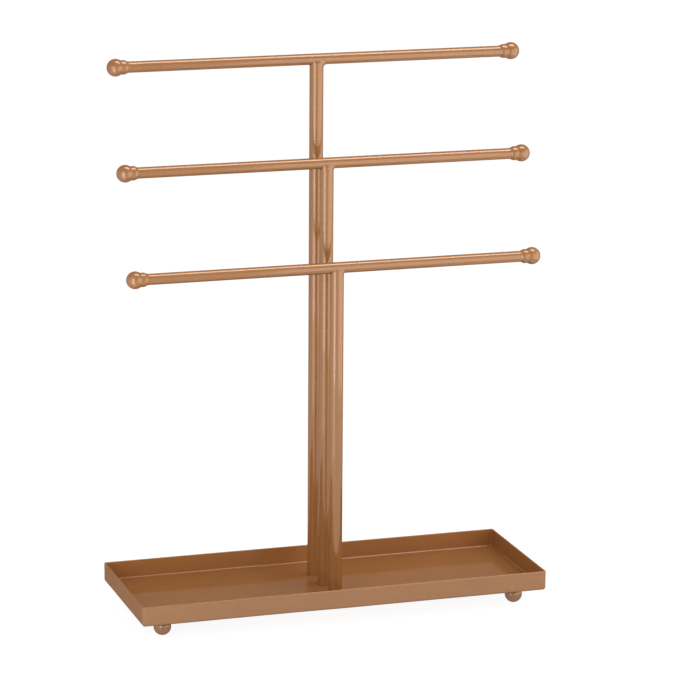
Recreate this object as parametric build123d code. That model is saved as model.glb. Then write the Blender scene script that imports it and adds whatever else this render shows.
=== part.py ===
from build123d import *
from math import sqrt
import os

# Three-tier jewellery stand: a shallow tray folded from steel sheet, on four ball feet, with
# three T-shaped hangers that stand in it in a row from front to rear, each lower than the one
# behind it. Each hanger is a round post with a round bar welded across its top, and the bar
# ends in two balls. A screw from under the tray holds each post.
#
# Millimetres. +X is to the right, +Y to the rear and +Z up. The origin is on the table, under
# the middle of the tray.

# Tray, folded from one sheet and welded at its four corners
tray_length = 304.8
tray_depth = 114.3
wall_height = 14.5
sheet = 1.2
bend_inner_radius = 1.0
rim_edge_radius = 0.45

# Ball feet: solid balls, each with a small flat to stand on and one where it is welded on
foot_diameter = 12.7
foot_flat_diameter = 3.0
foot_inset_x = 19.0
foot_inset_y = 18.0

# Posts: tubes cut square at the floor and coped at the bar. The weld around the bar is ground
# to a small concave radius.
post_spacing = 25.4
post_diameter = 10.0
post_wall = 1.0
post_end_chamfer = 0.3
weld_radius = 1.6

# Bars, given by the height of their centre lines above the table
top_bar_height = 398.5
bar_drop = 71.0
bar_diameter = 8.0
bar_wall = 0.8
bar_reach = 148.0

# Ball ends: a ball, a rounded ring, a short cone down to the bar, and a spigot inside the bar
ball_diameter = 12.5
neck_diameter = 10.0
ring_diameter = 10.4
ring_width = 2.9
cone_length = 2.2
cone_end_step = 0.1
spigot_length = 8.0
spigot_chamfer = 0.5
spigot_clearance = 0.05

# Post screws and the threaded plugs that they pull on, at their nominal diameters
screw_diameter = 5.0
screw_length = 10.0
screw_head_diameter = 9.5
screw_head_height = 3.2
screw_head_radius = 1.6
screw_tip_chamfer = 0.6
recess_width = 1.1
recess_span = 5.0
recess_depth = 1.8
plug_length = 14.0
plug_clearance = 0.05
thread_clearance = 0.05
screw_hole_clearance = 0.25

# Worked out from the sizes above
bend_outer_radius = bend_inner_radius + sheet
foot_height = sqrt(foot_diameter**2 - foot_flat_diameter**2)
floor_top = foot_height + sheet
post_radius = post_diameter / 2
bore_radius = post_radius - post_wall
bar_radius = bar_diameter / 2
spigot_radius = bar_radius - bar_wall - spigot_clearance
neck_offset = sqrt(ball_diameter**2 - neck_diameter**2) / 2
shoulder_offset = neck_offset + ring_width + cone_length
bar_end = bar_reach - shoulder_offset
corner_foot_x = tray_length / 2 - foot_inset_x
corner_foot_y = tray_depth / 2 - foot_inset_y

# Each hanger: the name of its post, the name of its bar, its place along Y, its bar's height
hangers = [
    ("rear_post", "top_bar", post_spacing, top_bar_height),
    ("middle_post", "middle_bar", 0.0, top_bar_height - bar_drop),
    ("front_post", "low_bar", -post_spacing, top_bar_height - 2 * bar_drop),
]

os.makedirs("parts", exist_ok=True)


def save(shape, node):
    """Writes one sub-part under its node name."""
    shape.label = node
    export_step(shape, f"parts/{node}.step")


def rounded_block(length, depth, height, radius):
    """A block standing on z = 0, open-ended at the top, rounded at its corners and its foot."""
    block = extrude(RectangleRounded(length, depth, radius), height)
    foot_edges = block.faces().sort_by(Axis.Z)[0].edges()
    return fillet(foot_edges, radius)


def tray():
    """The folded tray: floor, four walls, bends of one radius, and a hole for each screw."""
    outside = rounded_block(tray_length, tray_depth, wall_height, bend_outer_radius)
    inside = rounded_block(
        tray_length - 2 * sheet, tray_depth - 2 * sheet, wall_height, bend_inner_radius
    )
    shell = outside - Pos(0, 0, sheet) * inside
    rim = shell.faces().sort_by(Axis.Z)[-1]
    shell = fillet(rim.edges(), rim_edge_radius)
    hole_radius = screw_diameter / 2 + screw_hole_clearance
    hole = Cylinder(hole_radius, 3 * sheet)
    for _, _, y, _ in hangers:
        shell -= Pos(0, y, sheet / 2) * hole
    return Pos(0, 0, foot_height) * shell


def foot():
    """A ball with a flat at its top and its bottom, standing on z = 0."""
    slab = Box(foot_diameter, foot_diameter, foot_height)
    return Pos(0, 0, foot_height / 2) * (Sphere(foot_diameter / 2) & slab)


def bar_cylinder(radius, half_length):
    """A cylinder along X, centred on the origin."""
    return Rot(0, 90, 0) * Cylinder(radius, 2 * half_length)


def post(bar_height):
    """A tube from the tray floor to the middle of the bar, coped and welded around it."""
    height = bar_height - floor_top
    stem = extrude(Circle(post_radius), height)
    crossing = Pos(0, 0, height) * bar_cylinder(bar_radius, 3 * post_diameter)
    joined = stem + crossing
    seam = [
        edge
        for edge in joined.edges()
        if edge.geom_type not in (GeomType.LINE, GeomType.CIRCLE)
    ]
    welded = fillet(seam, weld_radius)
    solid = welded - crossing
    bore = extrude(Circle(bore_radius), height)
    solid -= bore
    base = solid.faces().sort_by(Axis.Z)[0].outer_wire().edges()
    return Pos(0, 0, floor_top) * chamfer(base, post_end_chamfer)


def bar():
    """A tube along X, open at both ends."""
    return bar_cylinder(bar_radius, bar_end) - bar_cylinder(bar_radius - bar_wall, bar_end)


def ball_end():
    """A turned ball end with its ball centred on the origin and its spigot towards +X."""
    ball_radius = ball_diameter / 2
    neck_radius = neck_diameter / 2
    ring_end = neck_offset + ring_width
    spigot_end = shoulder_offset + spigot_length
    cone_radius = bar_radius + cone_end_step
    with BuildPart() as turned:
        with BuildSketch(Plane.XY):
            with BuildLine():
                ThreePointArc((-ball_radius, 0), (0, ball_radius), (neck_offset, neck_radius))
                ThreePointArc(
                    (neck_offset, neck_radius),
                    (neck_offset + ring_width / 2, ring_diameter / 2),
                    (ring_end, neck_radius),
                )
                Polyline(
                    (ring_end, neck_radius),
                    (shoulder_offset, cone_radius),
                    (shoulder_offset, spigot_radius),
                    (spigot_end - spigot_chamfer, spigot_radius),
                    (spigot_end, spigot_radius - spigot_chamfer),
                    (spigot_end, 0),
                    (-ball_radius, 0),
                )
            make_face()
        revolve(axis=Axis.X)
    return turned.part


def plug():
    """A steel slug fixed inside the foot of a post, flush with its end and bored for the screw."""
    slug = extrude(Circle(bore_radius - plug_clearance), plug_length)
    thread = extrude(Circle(screw_diameter / 2 + thread_clearance), plug_length)
    return Pos(0, 0, floor_top) * (slug - thread)


def screw():
    """A pan-head screw pointing up, its head under the tray floor, with a cross recess."""
    head = extrude(Circle(screw_head_diameter / 2), -screw_head_height)
    head = fillet(head.faces().sort_by(Axis.Z)[0].edges(), screw_head_radius)
    shank = extrude(Circle(screw_diameter / 2), screw_length)
    shank = chamfer(shank.faces().sort_by(Axis.Z)[-1].edges(), screw_tip_chamfer)
    slot = Box(recess_span, recess_width, 2 * recess_depth)
    cross = slot + Rot(0, 0, 90) * slot
    return Pos(0, 0, foot_height) * (head + shank - Pos(0, 0, -screw_head_height) * cross)


save(tray(), "tray")

for side, x_sign in (("left", -1), ("right", 1)):
    for place, y_sign in (("front", -1), ("rear", 1)):
        spot = Pos(x_sign * corner_foot_x, y_sign * corner_foot_y, 0)
        save(spot * foot(), f"{place}_{side}_foot")

for post_name, bar_name, y, bar_height in hangers:
    save(Pos(0, y, 0) * post(bar_height), post_name)
    save(Pos(0, y, 0) * plug(), f"{post_name}_plug")
    save(Pos(0, y, bar_height) * bar(), bar_name)
    save(Pos(-bar_reach, y, bar_height) * ball_end(), f"{bar_name}_left_ball")
    save(Pos(bar_reach, y, bar_height) * Rot(0, 0, 180) * ball_end(), f"{bar_name}_right_ball")

screws = [Pos(0, y, 0) * screw() for _, _, y, _ in hangers]
save(Compound(children=screws), "post_screws")
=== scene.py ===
import math

import bmesh
import bpy
from mathutils import Matrix, Vector, noise


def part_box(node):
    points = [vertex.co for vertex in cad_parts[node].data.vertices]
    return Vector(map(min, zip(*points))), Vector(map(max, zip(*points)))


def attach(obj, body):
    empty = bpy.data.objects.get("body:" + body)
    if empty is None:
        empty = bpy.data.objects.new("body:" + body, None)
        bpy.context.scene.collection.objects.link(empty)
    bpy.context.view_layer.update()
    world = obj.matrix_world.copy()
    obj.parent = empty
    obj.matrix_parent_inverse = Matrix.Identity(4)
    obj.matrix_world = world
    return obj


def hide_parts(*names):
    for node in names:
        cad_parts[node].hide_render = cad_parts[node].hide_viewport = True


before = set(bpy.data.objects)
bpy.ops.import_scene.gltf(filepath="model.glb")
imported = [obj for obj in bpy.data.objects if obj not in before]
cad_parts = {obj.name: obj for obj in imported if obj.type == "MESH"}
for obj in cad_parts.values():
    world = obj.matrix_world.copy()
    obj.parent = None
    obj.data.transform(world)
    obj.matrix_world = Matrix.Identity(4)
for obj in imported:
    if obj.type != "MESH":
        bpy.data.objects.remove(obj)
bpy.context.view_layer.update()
scene = bpy.context.scene
MM = 0.001


# Tray. One sheet of 1.2 mm steel, folded up on four sides, its corners welded and ground round,
# then sprayed all over. A folded sheet is never quite flat: floor and walls wander by up to a
# quarter of a millimetre, except where the posts are screwed down, and that bends the reflections.

SHEET = 1.2 * MM
BEND_OUTER_RADIUS = 2.2 * MM
BEND_SEGMENTS = 6
RIM_RADIUS = 0.45 * MM
RIM_SEGMENTS = 3
RIM_ANGLE = math.radians(60)
WAVE_DEPTH = 0.25 * MM
WAVE_LENGTH = 85 * MM
WAVE_START = (3.1, 7.4, 1.7)
HELD_FLAT = 30 * MM
GRID_STEP = 12 * MM
SMOOTH_ANGLE = math.radians(38)
FLAKE_SIZE = 0.7 * MM
CLOUD_SIZE = 28 * MM
CLOUD_SHARE = 0.35
PEEL_SIZE = 2.4 * MM
PEEL_DEPTH = 0.005 * MM
FLAKE_SHARE = 0.35


def linear(hex_code):
    """An sRGB hex colour as linear red, green, blue and alpha."""
    channels = [int(hex_code[place:place + 2], 16) / 255 for place in (1, 3, 5)]
    straight = [c / 12.92 if c <= 0.04045 else ((c + 0.055) / 1.055) ** 2.4 for c in channels]
    return (*straight, 1.0)


def add_node(tree, kind, settings=None, values=None, links=None):
    """Adds a shader node with its settings, the values of its sockets and the links into it."""
    made = tree.nodes.new(kind)
    for name, setting in (settings or {}).items():
        setattr(made, name, setting)
    for socket, value in (values or {}).items():
        made.inputs[socket].default_value = value
    for socket, source in (links or {}).items():
        tree.links.new(source, made.inputs[socket])
    return made


def empty_material(name):
    """A material with nothing in its node tree yet."""
    material = bpy.data.materials.new(name)
    material.use_nodes = True
    material.node_tree.nodes.clear()
    return material


def copper_lacquer():
    """Copper-coloured metallic lacquer on steel, sprayed and baked.

    Fine metal flake in a clear binder: satin, with a soft and fairly wide highlight, under a
    thin clear skin that makes the brightest glints paler than the colour. The flake is drawn
    coarser than it is, so that it shows. Two values aren't those of real lacquer, and were set
    to match the photograph: the skin's gloss weakens where the surface turns away, where a real
    one strengthens, and the body has no specular level of its own.
    """
    material = empty_material("copper_metallic_lacquer")
    tree = material.node_tree
    place = add_node(tree, "ShaderNodeTexCoord").outputs["Object"]
    flake = add_node(
        tree,
        "ShaderNodeTexNoise",
        values={"Scale": 1 / FLAKE_SIZE, "Detail": 2.0, "Roughness": 0.6},
        links={"Vector": place},
    )
    cloud = add_node(
        tree,
        "ShaderNodeTexNoise",
        values={"Scale": 1 / CLOUD_SIZE, "Detail": 3.0, "Roughness": 0.55},
        links={"Vector": place},
    )
    mottle = add_node(
        tree,
        "ShaderNodeMath",
        {"operation": "MULTIPLY_ADD"},
        {1: CLOUD_SHARE},
        {0: cloud.outputs["Fac"], 2: flake.outputs["Fac"]},
    )
    colour = add_node(tree, "ShaderNodeValToRGB", links={"Fac": mottle.outputs[0]})
    colour.color_ramp.elements[0].position = 0.4
    colour.color_ramp.elements[0].color = linear("#97663A")
    colour.color_ramp.elements[1].position = 0.95
    colour.color_ramp.elements[1].color = linear("#A97444")
    gloss = add_node(
        tree,
        "ShaderNodeMapRange",
        values={"From Min": 0.3, "From Max": 0.7, "To Min": 0.35, "To Max": 0.42},
        links={"Value": cloud.outputs["Fac"]},
    )
    peel = add_node(
        tree,
        "ShaderNodeTexNoise",
        values={"Scale": 1 / PEEL_SIZE, "Detail": 1.0},
        links={"Vector": place},
    )
    relief = add_node(
        tree,
        "ShaderNodeMath",
        {"operation": "MULTIPLY_ADD"},
        {1: FLAKE_SHARE},
        {0: flake.outputs["Fac"], 2: peel.outputs["Fac"]},
    )
    bump = add_node(
        tree,
        "ShaderNodeBump",
        values={"Strength": 0.5, "Distance": PEEL_DEPTH},
        links={"Height": relief.outputs[0]},
    )
    slant = add_node(tree, "ShaderNodeLayerWeight", values={"Blend": 0.5})
    skin = add_node(
        tree,
        "ShaderNodeMapRange",
        values={"From Min": 0.35, "From Max": 0.7, "To Min": 1.0, "To Max": 0.18},
        links={"Value": slant.outputs["Facing"]},
    )
    surface = add_node(
        tree,
        "ShaderNodeBsdfPrincipled",
        values={
            "Metallic": 0.3,
            "Specular IOR Level": 0.0,
            "Specular Tint": linear("#B98A68"),
            "Coat IOR": 1.6,
            "Coat Roughness": 0.09,
        },
        links={
            "Base Color": colour.outputs["Color"],
            "Roughness": gloss.outputs["Result"],
            "Normal": bump.outputs["Normal"],
            "Coat Weight": skin.outputs["Result"],
        },
    )
    add_node(tree, "ShaderNodeOutputMaterial", links={"Surface": surface.outputs["BSDF"]})
    return material


def finish_piece(shape, name, material, slot, *nodes):
    """Makes the finished shape a piece of the stand, in place of the named CAD nodes."""
    bmesh.ops.recalc_face_normals(shape, faces=shape.faces)
    mesh = bpy.data.meshes.new(name)
    shape.to_mesh(mesh)
    shape.free()
    mesh.shade_smooth()
    mesh.set_sharp_from_angle(angle=SMOOTH_ANGLE)
    mesh.materials.append(material)
    piece = bpy.data.objects.new(name, mesh)
    scene.collection.objects.link(piece)
    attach(piece, "root")
    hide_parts(*nodes)
    return piece


lacquer = copper_lacquer()
tray_low, tray_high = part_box("tray")
tray_middle = (tray_low + tray_high) / 2
tray_size = tray_high - tray_low

tray = bmesh.new()
bmesh.ops.create_cube(
    tray, size=1, matrix=Matrix.Translation(tray_middle) @ Matrix.Diagonal((*tray_size, 1))
)
lid = [face for face in tray.faces if face.calc_center_median().z > tray_high.z - MM]
bmesh.ops.delete(tray, geom=lid, context="FACES_ONLY")
bends = [edge for edge in tray.edges if min(v.co.z for v in edge.verts) < tray_middle.z]
bmesh.ops.bevel(
    tray,
    geom=bends,
    offset=BEND_OUTER_RADIUS,
    segments=BEND_SEGMENTS,
    profile=0.5,
    affect="EDGES",
    material=-1,
)
grids = ((Vector((1, 0, 0)), tray_size.x / 2), (Vector((0, 1, 0)), tray_size.y / 2))
for normal, reach in grids:
    steps = int((reach - BEND_OUTER_RADIUS) // GRID_STEP)
    for step in range(-steps, steps + 1):
        bmesh.ops.bisect_plane(
            tray,
            geom=[*tray.verts, *tray.edges, *tray.faces],
            plane_co=normal * step * GRID_STEP,
            plane_no=normal,
        )
bmesh.ops.recalc_face_normals(tray, faces=tray.faces)
tray.normal_update()
for vertex in tray.verts:
    wave = 0.5 + 0.5 * noise.noise(vertex.co / WAVE_LENGTH + Vector(WAVE_START))
    free = min(1, abs(vertex.co.x) / HELD_FLAT)
    vertex.co -= vertex.normal * WAVE_DEPTH * wave * free
tray_piece = finish_piece(tray, "folded_tray", lacquer, "copper_lacquer", "tray")
thickness = tray_piece.modifiers.new("sheet_thickness", "SOLIDIFY")
thickness.thickness = SHEET
thickness.offset = -1
thickness.use_even_offset = True
ground_edge = tray_piece.modifiers.new("ground_rim", "BEVEL")
ground_edge.width = RIM_RADIUS
ground_edge.segments = RIM_SEGMENTS
ground_edge.limit_method = "ANGLE"
ground_edge.angle_limit = RIM_ANGLE
tray_piece.modifiers.new("even_shading", "WEIGHTED_NORMAL")


# Feet. Four solid steel balls, welded to the tray's underside before it was sprayed, so each
# has a narrow collar of melted metal at its top, and a small flat at the bottom to stand on.

FOOT_FLAT_RADIUS = 1.5 * MM
FOOT_COLLAR_RADIUS = 2.9 * MM
FOOT_COLLAR_HEIGHT = 0.5 * MM
FOOT_COLLAR_FLARE = 0.5 * MM
FOOT_COLLAR_TOE = 0.4 * MM
FOOT_SUNK = 0.4 * MM
FOOT_ARC_STEPS = 36
TURN_STEPS = 64
MERGE_DISTANCE = 0.002 * MM


def arc(along, out, radius, start, end, count):
    """Points along and out from the axis, on an arc between two angles in degrees."""
    angles = [math.radians(start + (end - start) * step / count) for step in range(count + 1)]
    return [(along + radius * math.cos(a), out + radius * math.sin(a)) for a in angles]


def turned(profile):
    """A closed shape turned about the X axis, from a profile given along and out from it."""
    shape = bmesh.new()
    corners = [shape.verts.new((along, 0, out)) for along, out in profile]
    for first, second in zip(corners, corners[1:]):
        shape.edges.new((first, second))
    bmesh.ops.spin(
        shape,
        geom=[*shape.verts, *shape.edges],
        cent=(0, 0, 0),
        axis=(1, 0, 0),
        angle=math.tau,
        steps=TURN_STEPS,
        use_merge=True,
        use_duplicate=False,
    )
    bmesh.ops.remove_doubles(shape, verts=shape.verts, dist=MERGE_DISTANCE)
    return shape


for place in ("front_left", "front_right", "rear_left", "rear_right"):
    foot_low, foot_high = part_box(f"{place}_foot")
    foot_radius = (foot_high.x - foot_low.x) / 2
    half_height = (foot_high.z - foot_low.z) / 2
    bottom = 180 - math.degrees(math.asin(FOOT_FLAT_RADIUS / foot_radius))
    top = math.degrees(math.asin((FOOT_COLLAR_RADIUS + FOOT_COLLAR_TOE) / foot_radius))
    foot = turned(
        [
            (-half_height, 0),
            *arc(0, 0, foot_radius, bottom, top, FOOT_ARC_STEPS),
            (half_height - FOOT_COLLAR_HEIGHT, FOOT_COLLAR_RADIUS),
            (half_height, FOOT_COLLAR_RADIUS + FOOT_COLLAR_FLARE),
            (half_height + FOOT_SUNK, FOOT_COLLAR_RADIUS),
            (half_height + FOOT_SUNK, 0),
        ]
    )
    upright = Matrix.Rotation(-math.pi / 2, 4, "Y")
    standing = Matrix.Translation((foot_low + foot_high) / 2) @ upright
    bmesh.ops.transform(foot, matrix=standing, verts=foot.verts)
    finish_piece(foot, f"{place}_ball_foot", lacquer, "copper_lacquer", f"{place}_foot")


# Hangers. Each is a steel tube of 10 mm, cut square at the tray floor and coped at the top, so
# that two low ears stand up beside the 8 mm bar that is welded across it. The weld is ground to
# a hollow on the right. On the left the end of the tube shows as a narrow crevice.

# The name of the post, the name of its bar, and how far the weld reaches out on the right
HANGERS = (
    ("rear_post", "top_bar", 3.2 * MM),
    ("middle_post", "middle_bar", 1.7 * MM),
    ("front_post", "low_bar", 1.3 * MM),
)
POST_END_CHAMFER = 0.3 * MM
POST_END_SEGMENTS = 2
LEFT_CREVICE = 0.6 * MM
SIDE_BLEND = 3
LEAST_HOLLOW = 0.4 * MM
HOLLOW_PULL = 0.3
TOE_PULL = 0.7
WELD_SUNK = 0.03 * MM
WELD_RINGS = 14
WELD_HEIGHT = 4.6 * MM
EAR_WRAP = math.radians(96)
EAR_EASE = 4.2 * MM
EAR_LIFT = 1.6 * MM
CAP_SHRINK = 0.7


def weld_point(angle, step, centre, post_radius, bar_radius, right_leg):
    """A point of the ground weld: step runs from 0 on the post's wall to 1 on the bar."""
    across, deep = math.cos(angle), math.sin(angle)
    side = 0.5 + 0.5 * math.tanh(SIDE_BLEND * across)
    leg = -LEFT_CREVICE + (right_leg + LEFT_CREVICE) * side
    ear = deep * deep
    hollow = max(leg, LEAST_HOLLOW) * (1 - ear) + EAR_EASE * ear
    wrap = EAR_WRAP * deep
    toe_radius = bar_radius - WELD_SUNK
    wall = Vector((post_radius * across, post_radius * deep, 0))
    toe = Vector(
        (
            (post_radius + leg) * across,
            toe_radius * math.sin(wrap),
            -toe_radius * math.cos(wrap),
        )
    )
    start = wall + Vector((0, 0, toe.z - hollow))
    rising = wall + Vector((0, 0, toe.z - hollow * HOLLOW_PULL * (1 + ear)))
    ending = toe - Vector((leg * across * TOE_PULL, 0, EAR_LIFT * ear))
    rest = 1 - step
    curve = rest**3 * start + 3 * rest**2 * step * rising + 3 * rest * step**2 * ending
    return centre + curve + step**3 * toe


for post_name, bar_name, right_leg in HANGERS:
    post_low, post_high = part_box(post_name)
    bar_low, bar_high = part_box(bar_name)
    centre = (bar_low + bar_high) / 2
    bar_radius = (bar_high.z - bar_low.z) / 2
    post_radius = (post_high.y - post_low.y) / 2
    straight_top = centre.z - bar_radius - WELD_HEIGHT
    ring_gap = WELD_HEIGHT / (WELD_RINGS + 1)
    post = bmesh.new()
    bmesh.ops.create_cone(
        post,
        cap_ends=True,
        segments=TURN_STEPS,
        radius1=post_radius,
        radius2=post_radius,
        depth=straight_top + WELD_HEIGHT - post_low.z,
        matrix=Matrix.Translation(
            (centre.x, centre.y, (post_low.z + straight_top + WELD_HEIGHT) / 2)
        ),
    )
    for ring in range(WELD_RINGS + 1):
        bmesh.ops.bisect_plane(
            post,
            geom=[*post.verts, *post.edges, *post.faces],
            plane_co=(0, 0, straight_top + ring * ring_gap),
            plane_no=(0, 0, 1),
        )
    for vertex in post.verts:
        rings_up = (vertex.co.z - straight_top) / ring_gap
        if rings_up > -0.5:
            away = vertex.co - centre
            angle = math.atan2(away.y, away.x)
            step = min(rings_up / WELD_RINGS, 1)
            vertex.co = weld_point(angle, step, centre, post_radius, bar_radius, right_leg)
            if rings_up > WELD_RINGS + 0.5:
                vertex.co = centre + (vertex.co - centre) * CAP_SHRINK
    bottom_edges = [e for e in post.edges if max(v.co.z for v in e.verts) < post_low.z + 0.1 * MM]
    bmesh.ops.bevel(
        post,
        geom=bottom_edges,
        offset=POST_END_CHAMFER,
        segments=POST_END_SEGMENTS,
        profile=0.5,
        affect="EDGES",
        material=-1,
    )
    finish_piece(post, f"{post_name}_tube", lacquer, "copper_lacquer", post_name)

    bar = bmesh.new()
    bmesh.ops.create_cone(
        bar,
        cap_ends=True,
        segments=TURN_STEPS,
        radius1=bar_radius,
        radius2=bar_radius,
        depth=bar_high.x - bar_low.x,
        matrix=Matrix.Translation(centre) @ Matrix.Rotation(math.pi / 2, 4, "Y"),
    )
    finish_piece(bar, f"{bar_name}_tube", lacquer, "copper_lacquer", bar_name)


# Ball ends. Turned steel, one piece each: a ball, a rounded ring behind it and a short cone,
# pressed into the end of the bar by a spigot and sprayed with it. The groove behind the ball is
# shallower than in the solids, as it is nearly closed in the photograph.

NECK_RADIUS = 5.05 * MM
RING_RADIUS = 5.12 * MM
RING_WIDTH = 2.9 * MM
CONE_END_STEP = 0.1 * MM
TURNED_EDGE = 0.12 * MM
BALL_ARC_STEPS = 32
RING_ARC_STEPS = 10

for _, bar_name, _ in HANGERS:
    bar_low, bar_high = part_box(bar_name)
    bar_radius = (bar_high.z - bar_low.z) / 2
    for side, bar_tip, facing in (("left", bar_low.x, 0), ("right", bar_high.x, math.pi)):
        ball_low, ball_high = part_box(f"{bar_name}_{side}_ball")
        ball_radius = (ball_high.z - ball_low.z) / 2
        ball_centre = (ball_low + ball_high) / 2
        ball_x = ball_low.x + ball_radius if side == "left" else ball_high.x - ball_radius
        ball_centre.x = ball_x
        shoulder = abs(bar_tip - ball_x)
        neck_angle = math.asin(NECK_RADIUS / ball_radius)
        neck = ball_radius * math.cos(neck_angle)
        rise = RING_RADIUS - NECK_RADIUS
        ring_arc = (RING_WIDTH**2 / 4 + rise**2) / (2 * rise)
        ring_tilt = math.degrees(math.asin(RING_WIDTH / 2 / ring_arc))
        ball_end = turned(
            [
                *arc(0, 0, ball_radius, 180, math.degrees(neck_angle), BALL_ARC_STEPS),
                *arc(
                    neck + RING_WIDTH / 2,
                    RING_RADIUS - ring_arc,
                    ring_arc,
                    90 + ring_tilt,
                    90 - ring_tilt,
                    RING_ARC_STEPS,
                )[1:],
                (shoulder, bar_radius + CONE_END_STEP),
                (shoulder + TURNED_EDGE, bar_radius - CONE_END_STEP),
                (shoulder + TURNED_EDGE, 0),
            ]
        )
        in_place = Matrix.Translation(ball_centre) @ Matrix.Rotation(facing, 4, "Z")
        bmesh.ops.transform(ball_end, matrix=in_place, verts=ball_end.verts)
        name = f"{bar_name}_{side}"
        finish_piece(ball_end, f"{name}_ball_end", lacquer, "copper_lacquer", f"{name}_ball")


# Screws and plugs. Zinc-plated steel, bright but finely grained from the plating bath: a pan-head
# screw under the tray pulls on the threaded plug in the foot of each post.

PLATE_CLOUD_SIZE = 2.5 * MM
PLATE_GRAIN_SIZE = 0.25 * MM
PLATE_GRAIN_DEPTH = 0.01 * MM


def zinc_plate():
    """Zinc plate on steel: a pale bluish grey metal, slightly cloudy, with a fine satin grain."""
    material = empty_material("bright_zinc_plate")
    tree = material.node_tree
    place = add_node(tree, "ShaderNodeTexCoord").outputs["Object"]
    cloud = add_node(
        tree,
        "ShaderNodeTexNoise",
        values={"Scale": 1 / PLATE_CLOUD_SIZE, "Detail": 3.0},
        links={"Vector": place},
    )
    colour = add_node(tree, "ShaderNodeValToRGB", links={"Fac": cloud.outputs["Fac"]})
    colour.color_ramp.elements[0].position = 0.35
    colour.color_ramp.elements[0].color = linear("#A9AEB3")
    colour.color_ramp.elements[1].position = 0.7
    colour.color_ramp.elements[1].color = linear("#C6C8C4")
    gloss = add_node(
        tree,
        "ShaderNodeMapRange",
        values={"From Min": 0.3, "From Max": 0.7, "To Min": 0.22, "To Max": 0.36},
        links={"Value": cloud.outputs["Fac"]},
    )
    grain = add_node(
        tree,
        "ShaderNodeTexNoise",
        values={"Scale": 1 / PLATE_GRAIN_SIZE, "Detail": 2.0},
        links={"Vector": place},
    )
    bump = add_node(
        tree,
        "ShaderNodeBump",
        values={"Strength": 0.4, "Distance": PLATE_GRAIN_DEPTH},
        links={"Height": grain.outputs["Fac"]},
    )
    surface = add_node(
        tree,
        "ShaderNodeBsdfPrincipled",
        values={"Metallic": 1.0},
        links={
            "Base Color": colour.outputs["Color"],
            "Roughness": gloss.outputs["Result"],
            "Normal": bump.outputs["Normal"],
        },
    )
    add_node(tree, "ShaderNodeOutputMaterial", links={"Surface": surface.outputs["BSDF"]})
    return material


zinc = zinc_plate()
for node in ("rear_post_plug", "middle_post_plug", "front_post_plug", "post_screws"):
    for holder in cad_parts[node].material_slots:
        holder.material = zinc


# Studio. A white floor, the camera where the photograph was taken from, and two tall soft lights
# on each side of it, with a darker gap in front. One soft light lies on the floor to the left,
# facing up, and one hangs overhead.

CAMERA_PLACE = (-0.7355, -2.3146, 0.7819)
CAMERA_TURN = math.radians(-17.88)
CAMERA_TILT = math.radians(90 - 13.53)
CAMERA_ROLL = math.radians(0.38)
CAMERA_LENS = 183.0
SENSOR_WIDTH = 36
FLOOR_RADIUS = 14
FLOOR_GLOW = 0.92
ROOM_LEVEL = 0.5
ROOM_DIMS_FROM = math.radians(8)
ROOM_DIMS_TO = math.radians(30)
LAMP_AIM = (0, 0, 0.46)


def shown_rays(tree):
    """1 where a ray comes from the camera, a gloss or a clear material, and 0 elsewhere."""
    rays = add_node(tree, "ShaderNodeLightPath").outputs
    glossy = add_node(
        tree,
        "ShaderNodeMath",
        {"operation": "MAXIMUM"},
        links={0: rays["Is Glossy Ray"], 1: rays["Is Transmission Ray"]},
    )
    shown = add_node(
        tree,
        "ShaderNodeMath",
        {"operation": "MAXIMUM"},
        links={0: rays["Is Camera Ray"], 1: glossy.outputs[0]},
    )
    return shown.outputs[0]


def white_floor():
    """A matt white floor that shows as white where no shadow falls on it."""
    material = empty_material("white_studio_floor")
    tree = material.node_tree
    glow = add_node(
        tree, "ShaderNodeMath", {"operation": "MULTIPLY"}, {1: FLOOR_GLOW}, {0: shown_rays(tree)}
    )
    matt = add_node(tree, "ShaderNodeBsdfDiffuse", values={"Color": linear("#707070")})
    light = add_node(tree, "ShaderNodeEmission", links={"Strength": glow.outputs[0]})
    both = add_node(
        tree, "ShaderNodeAddShader", links={0: matt.outputs["BSDF"], 1: light.outputs["Emission"]}
    )
    add_node(tree, "ShaderNodeOutputMaterial", links={"Surface": both.outputs["Shader"]})
    return material


ground = bmesh.new()
bmesh.ops.create_circle(ground, cap_ends=True, segments=96, radius=FLOOR_RADIUS)
ground_mesh = bpy.data.meshes.new("studio_floor")
ground.to_mesh(ground_mesh)
ground.free()
ground_mesh.materials.append(white_floor())
floor = bpy.data.objects.new("studio_floor", ground_mesh)
scene.collection.objects.link(floor)

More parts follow.
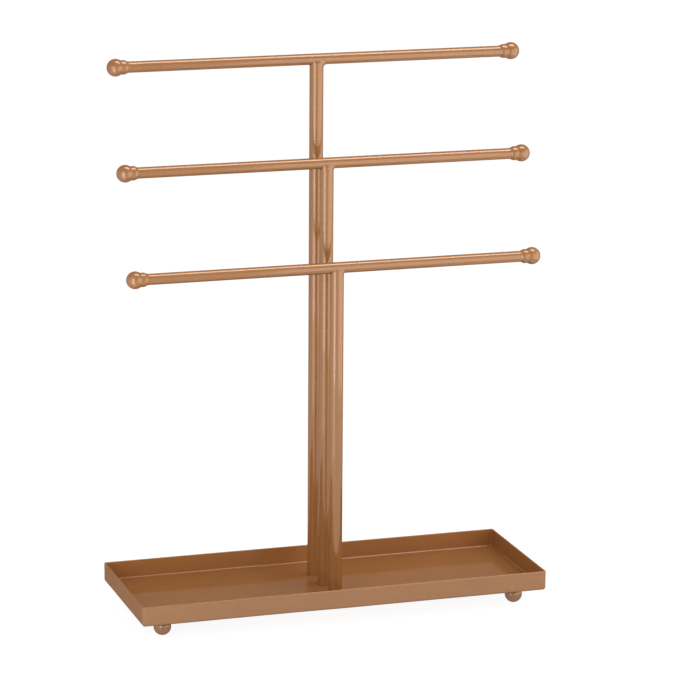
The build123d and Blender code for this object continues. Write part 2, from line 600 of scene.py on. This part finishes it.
# The room is white near the horizon and dims to ROOM_LEVEL higher up
studio = bpy.data.worlds.new("studio")
studio.use_nodes = True
studio.node_tree.nodes.clear()
toward = add_node(studio.node_tree, "ShaderNodeTexCoord").outputs["Generated"]
upward = add_node(studio.node_tree, "ShaderNodeSeparateXYZ", links={"Vector": toward})
level = add_node(
    studio.node_tree,
    "ShaderNodeMapRange",
    {"interpolation_type": "SMOOTHSTEP"},
    {
        "From Min": math.sin(ROOM_DIMS_FROM),
        "From Max": math.sin(ROOM_DIMS_TO),
        "To Min": 1.0,
        "To Max": ROOM_LEVEL,
    },
    {"Value": upward.outputs["Z"]},
)
air = add_node(
    studio.node_tree,
    "ShaderNodeBackground",
    values={"Color": (1, 1, 1, 1)},
    links={"Strength": level.outputs["Result"]},
)
add_node(studio.node_tree, "ShaderNodeOutputWorld", links={"Surface": air.outputs["Background"]})
scene.world = studio


def soft_light(name, place, aim, size, brightness):
    """A rectangular soft light that faces the point aim. Brightness 1 shows as white."""
    lamp = bpy.data.lights.new(name, "AREA")
    lamp.shape = "RECTANGLE"
    lamp.size, lamp.size_y = size
    lamp.energy = brightness * math.pi * size[0] * size[1]
    holder = bpy.data.objects.new(name, lamp)
    holder.location = place
    toward = Vector(aim) - holder.location
    holder.rotation_euler = toward.to_track_quat("-Z", "Y").to_euler()
    holder.visible_camera = False
    scene.collection.objects.link(holder)


soft_light("left_strip_light", (-0.382, -0.396, 0.33), LAMP_AIM, (0.155, 0.68), 3.5)
soft_light("left_soft_light", (-0.490, -0.250, 0.33), LAMP_AIM, (0.214, 0.68), 1.1)
soft_light("right_soft_light", (0.258, -0.486, 0.33), LAMP_AIM, (0.326, 0.68), 1.15)
soft_light("right_side_light", (0.510, -0.206, 0.33), LAMP_AIM, (0.478, 0.68), 1.2)
soft_light("low_left_light", (-0.2763, -0.2312, 0.004), (-0.2767, -0.2315, 1), (0.18, 0.26), 0.9)
soft_light("overhead_soft_light", (0.24, -0.05, 1.3), (0, 0, 0.33), (0.4, 0.8), 5.6)

camera_data = bpy.data.cameras.new("photograph_camera")
camera_data.lens = CAMERA_LENS
camera_data.sensor_width = SENSOR_WIDTH
camera = bpy.data.objects.new("photograph_camera", camera_data)
camera.matrix_world = (
    Matrix.Translation(CAMERA_PLACE)
    @ Matrix.Rotation(CAMERA_TURN, 4, "Z")
    @ Matrix.Rotation(CAMERA_TILT, 4, "X")
    @ Matrix.Rotation(CAMERA_ROLL, 4, "Z")
)
scene.collection.objects.link(camera)
scene.camera = camera
scene.view_settings.view_transform = "Standard"
